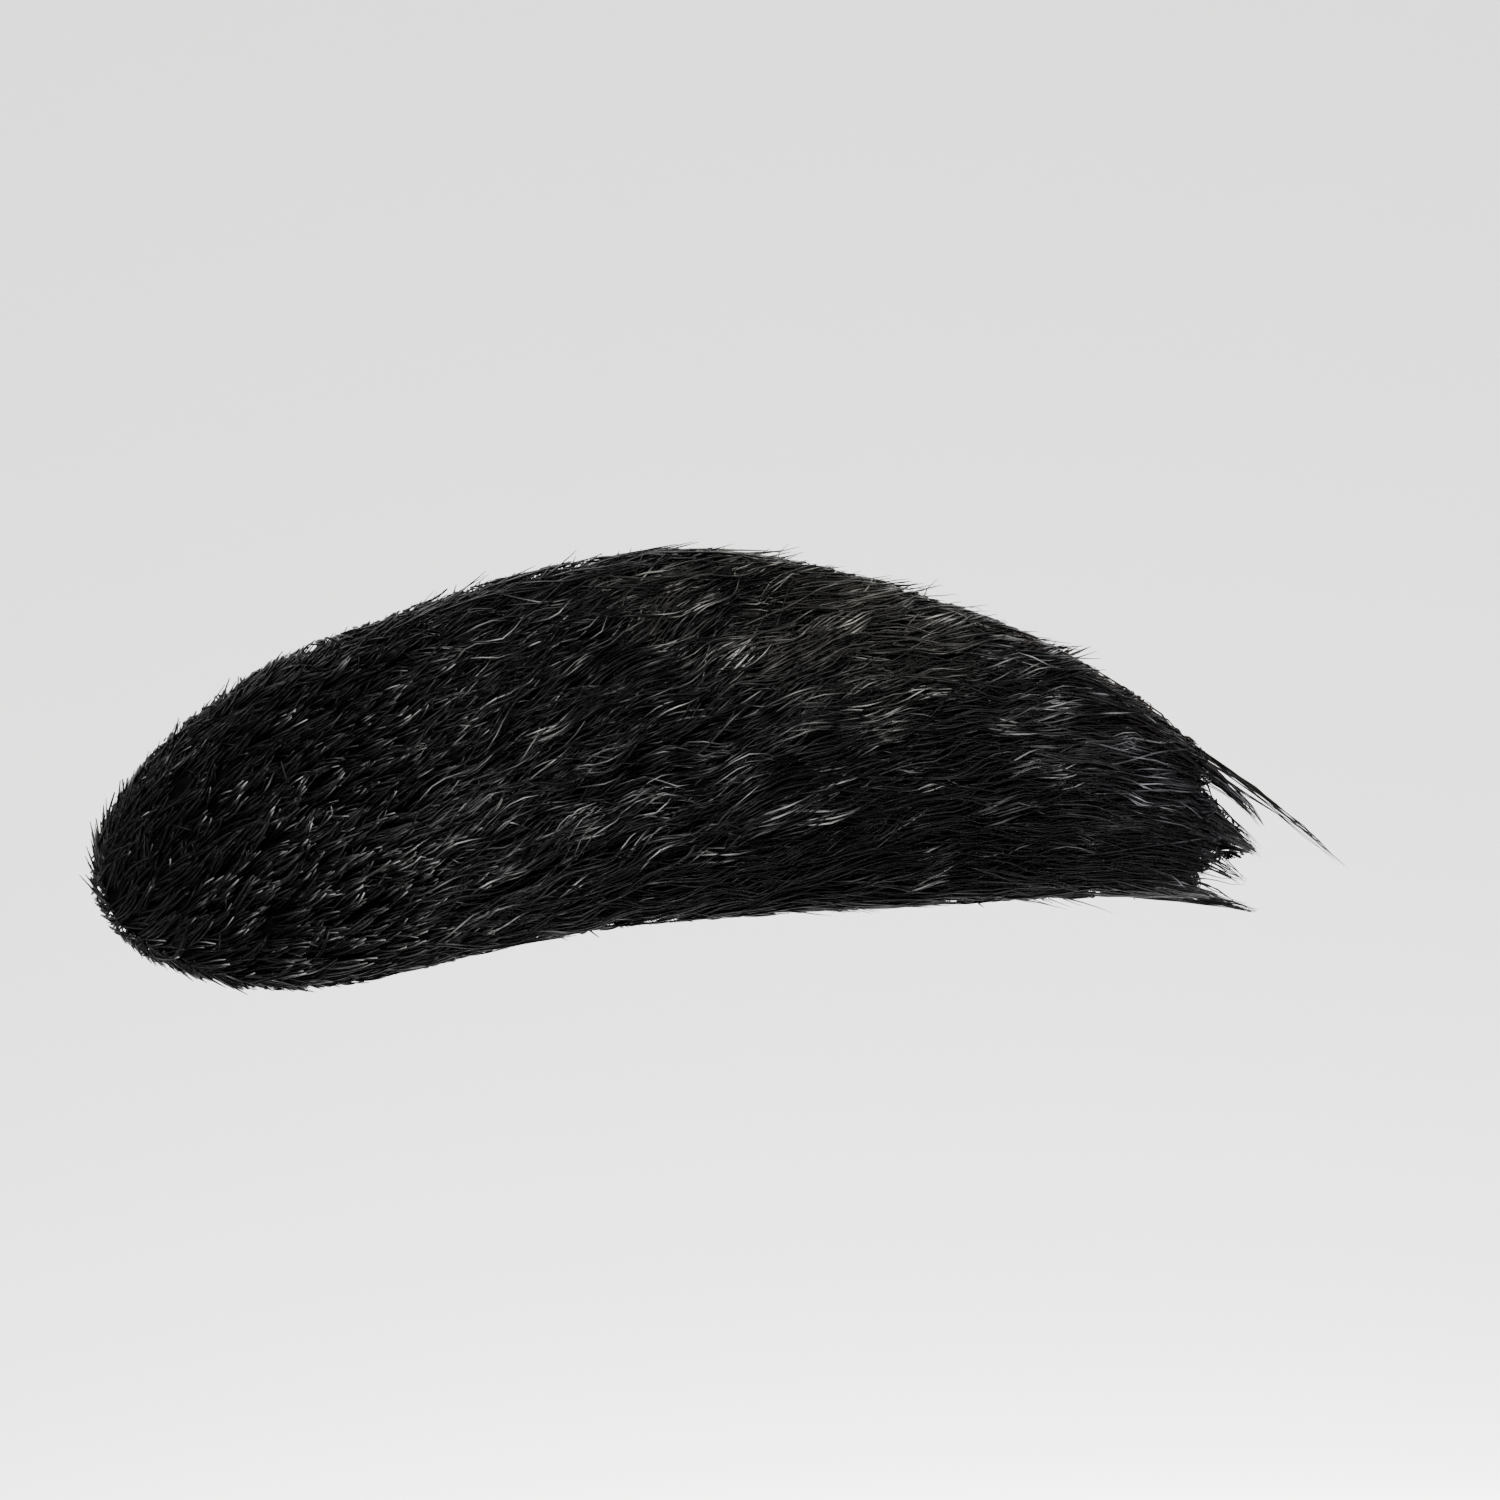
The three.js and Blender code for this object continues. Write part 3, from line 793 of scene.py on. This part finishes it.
# %% Piece: tip tufts
TUFT_STEPS = 10
TUFTS = [
    {"start": 0.8, "across": 0.78, "past": 6.2, "height": -9.1, "strands": 14, "loose": 0.05, "short": 2.0},
    {"start": 0.82, "across": 0.62, "past": -1.6, "height": -6.4, "strands": 46, "loose": 0.12, "short": 1.6},
    {"start": 0.84, "across": 0.1, "past": -2.6, "height": -7.6, "strands": 40, "loose": 0.14, "short": 1.4},
    {"start": 0.84, "across": -0.45, "past": -3.1, "height": -9.0, "strands": 24, "loose": 0.08, "short": 1.4},
    {"start": 0.78, "across": -0.84, "past": -0.7, "height": -10.7, "strands": 56, "loose": 0.06, "short": 1.7},
]


def tuft_paths(tuft):
    """Flat paths of one tuft's strands, from spread roots to its point."""
    count = tuft["strands"]
    across = np.clip(tuft["across"] + rng.normal(0, 0.12, count), -0.92, 0.85)
    root_x, root_z = flat_place(tuft["start"] + rng.normal(0, 0.03, count), across)
    loose = rng.normal(0, 1, count) * tuft["loose"] * MM
    tip_x = BROW_LENGTH / 2 + tuft["past"] * MM
    tip_z = tuft["height"] * MM
    reach = 1 - np.abs(rng.normal(0, 1, count)) * tuft["short"] * MM / (tip_x - root_x)
    v = np.linspace(0, 1, TUFT_STEPS)[None] * reach[:, None]
    bend_z = (root_z + (tip_z - root_z) * 0.4)[:, None]
    x = root_x[:, None] * (1 - v) + tip_x * v
    z = root_z[:, None] * (1 - v) ** 2 + 2 * bend_z * v * (1 - v) + (tip_z + loose[:, None]) * v**2
    return x, z


def make_tip_tufts():
    paths = [tuft_paths(tuft) for tuft in TUFTS]
    path_x, path_z = (np.concatenate([path[k] for path in paths]) for k in (0, 1))
    count = len(path_x)
    lock = nearest_lock(path_x[:, 0], path_z[:, 0])
    length = np.hypot(path_x[:, -1] - path_x[:, 0], path_z[:, -1] - path_z[:, 0])
    layer = rng.uniform(0.75, 1.0, count)
    wave = np.full(count, 0.08 * MM)
    rise = rng.uniform(0.15, 0.3, count)
    points, normals = raise_into_pile(path_x, path_z, length, lock, layer, wave, rise, 0.1 * MM * layer)
    thickness = STRAND_THICKNESS * rng.uniform(0.75, 1.1, count)
    shades = strand_shades(lock, TUFT_STEPS, 0.0)
    return strand_object("tip_tufts", points, normals, thickness, 0.85, shades)


dress_as_hair(make_tip_tufts(), HAIR)

# %% [markdown]
# ## The cover of the tip
#
# The backing and its adhesive run on a little past the body of the hair, and seen from the side they would
# stand out bare. On the real thing the last fibres are drawn together round them. So a sleeve of short fibres
# lies over the end of the backing: those in its middle stay on top, and those along its two edges bend down
# over the side, the nearer the edge the deeper.

# %% Piece: tip cover
COVER_STRANDS = 420
COVER_STEPS = 8
COVER_FROM = 0.84
COVER_TO = 0.955
COVER_END = 30.5 * MM
COVER_MARGIN = 0.5 * MM


def cover_edge(x):
    """The flat middle line and the half width of the sleeve at flat places."""
    along = x / BROW_LENGTH + 0.5
    middle = read_outline("middle", along) * BROW_HEIGHT
    half = read_outline("height", along) * BROW_HEIGHT / 2 - BACKING_INSET - NARROWER_BY + COVER_MARGIN
    closing = np.clip((COVER_END + 0.5 * MM - x) / (3 * MM), 0, 1) ** 0.5
    return middle, np.maximum(half, 0.1 * MM) * closing


def make_tip_cover():
    count = COVER_STRANDS
    x = (rng.uniform(COVER_FROM, COVER_TO, count) - 0.5) * BROW_LENGTH
    side = np.sin(rng.uniform(-np.pi / 2, np.pi / 2, count))
    end_x = np.minimum(x + rng.uniform(1.6, 3.0, count) * MM, COVER_END - rng.uniform(0, 0.6, count) * MM)
    u = np.linspace(0, 1, COVER_STEPS)[None]
    path_x = x[:, None] + (end_x - x)[:, None] * u
    middle, half = cover_edge(path_x)
    path_z = middle + (side * rng.uniform(0.85, 1.05, count))[:, None] * half
    bend = np.clip((np.abs(side) - 0.5) / 0.35, 0, 1) * rng.uniform(0.35, 1.0, count)
    drop = (0.1 + 2.1 * bend)[:, None] * u**0.8 * MM
    height = np.maximum((BACKING_TOP + rng.uniform(0.1, 0.5, count) * MM)[:, None] - drop, 0.1 * MM)
    points, normals = above_seat(path_x, path_z, height), seat_normal(path_x, path_z)
    thickness = STRAND_THICKNESS * rng.uniform(0.8, 1.1, count)
    # Painted shade: the sleeve's strands, bending down over the side, are coloured at 0.6 of the others' brightness.
    shades = 0.6 * strand_shades(nearest_lock(x, path_z[:, 0]), COVER_STEPS, 0.0)
    return strand_object("tip_cover", points, normals, thickness, 0.8, shades)


dress_as_hair(make_tip_cover(), HAIR)

# %% [markdown]
# ## The fabric backing
#
# The hair is fixed to a piece of knitted fabric, cut to the eyebrow's outline. Only a narrow black band of it
# shows, from behind, round the adhesive. It could be left to a bump map, but the knit is a real relief, so
# the cloth is made again as a fine sheet whose face rises and falls in rows of loops, a fraction of a
# millimetre deep. Towards the outer tip it is cut narrower, so that it stays hidden behind the tufts.

# %% Piece: backing cloth
CLOTH_RINGS = 190
CLOTH_ACROSS = 50
CLOTH_REACH = 0.968
NARROWING_FROM = 0.72
NARROWING_OVER = 0.21
LOOP_WIDTH = 0.75 * MM
LOOP_DEPTH = 0.07 * MM


def knit_relief(x, z):
    """How far the loops of the knit stand out at a flat place."""
    wales = np.cos(2 * np.pi * z / LOOP_WIDTH + 0.9 * np.sin(2 * np.pi * x / LOOP_WIDTH))
    courses = np.cos(2 * np.pi * x / LOOP_WIDTH)
    return LOOP_DEPTH * (0.6 * wales + 0.4 * courses * wales)


def cloth_narrowing(share):
    """How much narrower the cut is than the rest, as a share of its width, towards the outer tip."""
    along = flat_place(share, 0.0, BACKING_INSET)[0] / BROW_LENGTH + 0.5
    edge = read_outline("height", along) * BROW_HEIGHT / 2 - BACKING_INSET
    narrower = NARROWER_BY * np.clip((along - NARROWING_FROM) / NARROWING_OVER, 0, 1)
    return np.clip(1 - narrower / edge, 0.1, 1)


def make_backing_cloth():
    rings = []
    steps = np.sin(np.linspace(-np.pi / 2, np.pi / 2, CLOTH_ACROSS))
    spread = (1 - np.cos(np.linspace(0, np.pi, CLOTH_RINGS))) / 2
    shares = 0.35 * spread + 0.65 * np.linspace(0, 1, CLOTH_RINGS)
    for share in 0.0008 + (CLOTH_REACH - 0.0008) * shares:
        x, z = flat_place(share, steps * cloth_narrowing(share), BACKING_INSET)
        x = x + 0 * z
        relief = knit_relief(x, z)
        front = above_seat(x, z, BACKING_TOP - LOOP_DEPTH + relief)
        behind = above_seat(x, z, BACKING_BOTTOM + LOOP_DEPTH - relief)
        rings.append(np.concatenate([front, behind[::-1]]))
    return loft_object("backing_cloth", rings)


backing_cloth = make_backing_cloth()

# %% Material: knitted backing
def knitted_backing():
    made, tree, shader = new_material("black_knitted_fabric")
    ramp = tree.nodes.new("ShaderNodeValToRGB")
    ramp.color_ramp.elements[0].color = (0.005, 0.005, 0.006, 1)
    ramp.color_ramp.elements[1].color = (0.026, 0.026, 0.029, 1)
    tree.links.new(add_noise(tree, 2600, 5, 0, 1), ramp.inputs["Fac"])
    tree.links.new(ramp.outputs["Color"], shader.inputs["Base Color"])
    shader.inputs["Roughness"].default_value = 0.85
    shader.inputs["Sheen Weight"].default_value = 0.2
    return made


backing_cloth.data.materials.append(knitted_backing())
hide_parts("backing")
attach(backing_cloth, "root")
print("backing dressed")

# %% [markdown]
# ## The adhesive
#
# The back is a die-cut sheet of double-sided tape. The solid has the right shape, so it stays and only gets
# its finish: cream, a little glossy, with the fine threads of its carrier showing through as a faint grid
# and a slight unevenness where it was pressed on.

# %% Material: adhesive tape
def tape_adhesive():
    made, tree, shader = new_material("cream_tape_adhesive")
    place = tree.nodes.new("ShaderNodeTexCoord")
    threads = []
    for direction in ("X", "Z"):
        wave = tree.nodes.new("ShaderNodeTexWave")
        wave.bands_direction = direction
        wave.inputs["Scale"].default_value = 420
        wave.inputs["Distortion"].default_value = 0.4
        tree.links.new(place.outputs["Object"], wave.inputs["Vector"])
        threads.append(wave)
    grid = tree.nodes.new("ShaderNodeMath")
    grid.operation = "MULTIPLY"
    blotch = tree.nodes.new("ShaderNodeTexNoise")
    blotch.inputs["Scale"].default_value = 160
    tree.links.new(place.outputs["Object"], blotch.inputs["Vector"])
    both = tree.nodes.new("ShaderNodeMath")
    both.operation = "MULTIPLY_ADD"
    both.inputs[1].default_value = 0.3
    ramp = tree.nodes.new("ShaderNodeValToRGB")
    ramp.color_ramp.elements[0].position = 0.25
    ramp.color_ramp.elements[0].color = (0.5, 0.45, 0.34, 1)
    ramp.color_ramp.elements[1].color = (0.7, 0.66, 0.55, 1)
    tree.links.new(threads[0].outputs["Fac"], grid.inputs[0])
    tree.links.new(threads[1].outputs["Fac"], grid.inputs[1])
    tree.links.new(grid.outputs["Value"], both.inputs[0])
    tree.links.new(blotch.outputs["Fac"], both.inputs[2])
    tree.links.new(both.outputs["Value"], ramp.inputs["Fac"])
    tree.links.new(ramp.outputs["Color"], shader.inputs["Base Color"])
    shader.inputs["Roughness"].default_value = 0.32
    return made


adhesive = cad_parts["adhesive"]
adhesive.data.materials.clear()
adhesive.data.materials.append(tape_adhesive())
print("adhesive dressed:", adhesive.name)

# %% [markdown]
# ## Floor, light and camera
#
# The eyebrow is held up in the air as it is when worn, in the middle of a plain pale dish: a flat floor that
# curves up into a wall all round, so that no horizon shows from any side. Black hair needs a strong soft
# light over dim surroundings. A broad glow from everywhere would only turn it grey, while a soft light
# from above and one side draws streaks on the locks. A weaker one fills the other side, and one behind picks
# out the edge. The last lamp stands behind the eyebrow and points away from it, at the wall, so that the
# backdrop stays pale however dim the surroundings are. The camera looks from the side of the inner end with
# a long lens, turned a little about its own axis.

# %% Floor
FLOOR_DROP = 100 * MM
FLOOR_RADIUS = 0.8
WALL_CURVE = 0.7
WALL_HEIGHT = 0.9
FLOOR_SEGMENTS = 96


def floor_profile():
    """Radius and height of the dish, from its middle out: flat, a quarter round, then a wall."""
    turn = np.linspace(0, np.pi / 2, 20)
    radius = np.concatenate([[0.001, 0.3, 0.6], FLOOR_RADIUS + WALL_CURVE * np.sin(turn), [FLOOR_RADIUS + WALL_CURVE]])
    height = np.concatenate([[0, 0, 0], WALL_CURVE * (1 - np.cos(turn)), [WALL_CURVE + WALL_HEIGHT]])
    return radius, height + cad_box[0][2] - FLOOR_DROP


def make_floor():
    turn = np.linspace(0, 2 * np.pi, FLOOR_SEGMENTS, endpoint=False)
    rings = [np.stack([r * np.cos(turn), r * np.sin(turn), h + 0 * turn], 1) for r, h in zip(*floor_profile())]
    return loft_object("floor", rings, open_end=True)


floor = make_floor()
pale, _, pale_shader = new_material("pale_floor")
pale_shader.inputs["Base Color"].default_value = (0.88, 0.876, 0.868, 1)
pale_shader.inputs["Roughness"].default_value = 0.9
floor.data.materials.append(pale)
print("floor at mm:", round((cad_box[0][2] - FLOOR_DROP) / MM, 1))

# %% Lights
lowest, highest = (Vector(c) for c in cad_box)
CENTRE = (lowest + highest) / 2
LIGHTS = [
    {"name": "key", "place": (-0.5, -0.7, 0.42), "size": 0.2, "watts": 27.0, "aim": CENTRE},
    {"name": "fill", "place": (0.6, -0.6, 0.1), "size": 0.4, "watts": 1.5, "aim": CENTRE},
    {"name": "back", "place": (0.1, 0.5, 0.6), "size": 0.4, "watts": 2.5, "aim": CENTRE},
    {"name": "backdrop", "place": (0.27, 0.61, 0.05), "size": 0.3, "watts": 7.0, "aim": (0.65, 1.45, 0.1)},
]
GLOW_STRENGTH = 0.24

world = bpy.context.scene.world or bpy.data.worlds.new("studio")
bpy.context.scene.world = world
world.use_nodes = True
world.node_tree.nodes["Background"].inputs["Color"].default_value = (0.95, 0.97, 1, 1)
world.node_tree.nodes["Background"].inputs["Strength"].default_value = GLOW_STRENGTH

for light in LIGHTS:
    lamp = bpy.data.lights.new(light["name"], "AREA")
    lamp.shape = "DISK"
    lamp.size = light["size"]
    lamp.energy = light["watts"]
    holder = bpy.data.objects.new(light["name"], lamp)
    holder.location = light["place"]
    holder.rotation_euler = (Vector(light["aim"]) - holder.location).to_track_quat("-Z", "Y").to_euler()
    bpy.context.scene.collection.objects.link(holder)
print("lights:", len(LIGHTS))

# %% Camera
CAMERA_AZIMUTH = math.radians(-23.8)
CAMERA_ELEVATION = math.radians(1.0)
CAMERA_ROLL = math.radians(-3.5)
CAMERA_LENS = 250
FRAME_WIDTH = 74 * MM

camera_data = bpy.data.cameras.new("camera")
camera_data.lens = CAMERA_LENS
camera = bpy.data.objects.new("camera", camera_data)
bpy.context.scene.collection.objects.link(camera)
back = Vector((
    math.sin(CAMERA_AZIMUTH) * math.cos(CAMERA_ELEVATION),
    -math.cos(CAMERA_AZIMUTH) * math.cos(CAMERA_ELEVATION),
    math.sin(CAMERA_ELEVATION),
))
distance = FRAME_WIDTH * CAMERA_LENS / camera_data.sensor_width
camera.location = CENTRE + back * distance
aim = (-back).to_track_quat("-Z", "Y").to_matrix() @ Matrix.Rotation(CAMERA_ROLL, 3, "Z")
camera.rotation_euler = aim.to_euler()
bpy.context.scene.camera = camera
print("camera at a distance of m:", round(distance, 3))
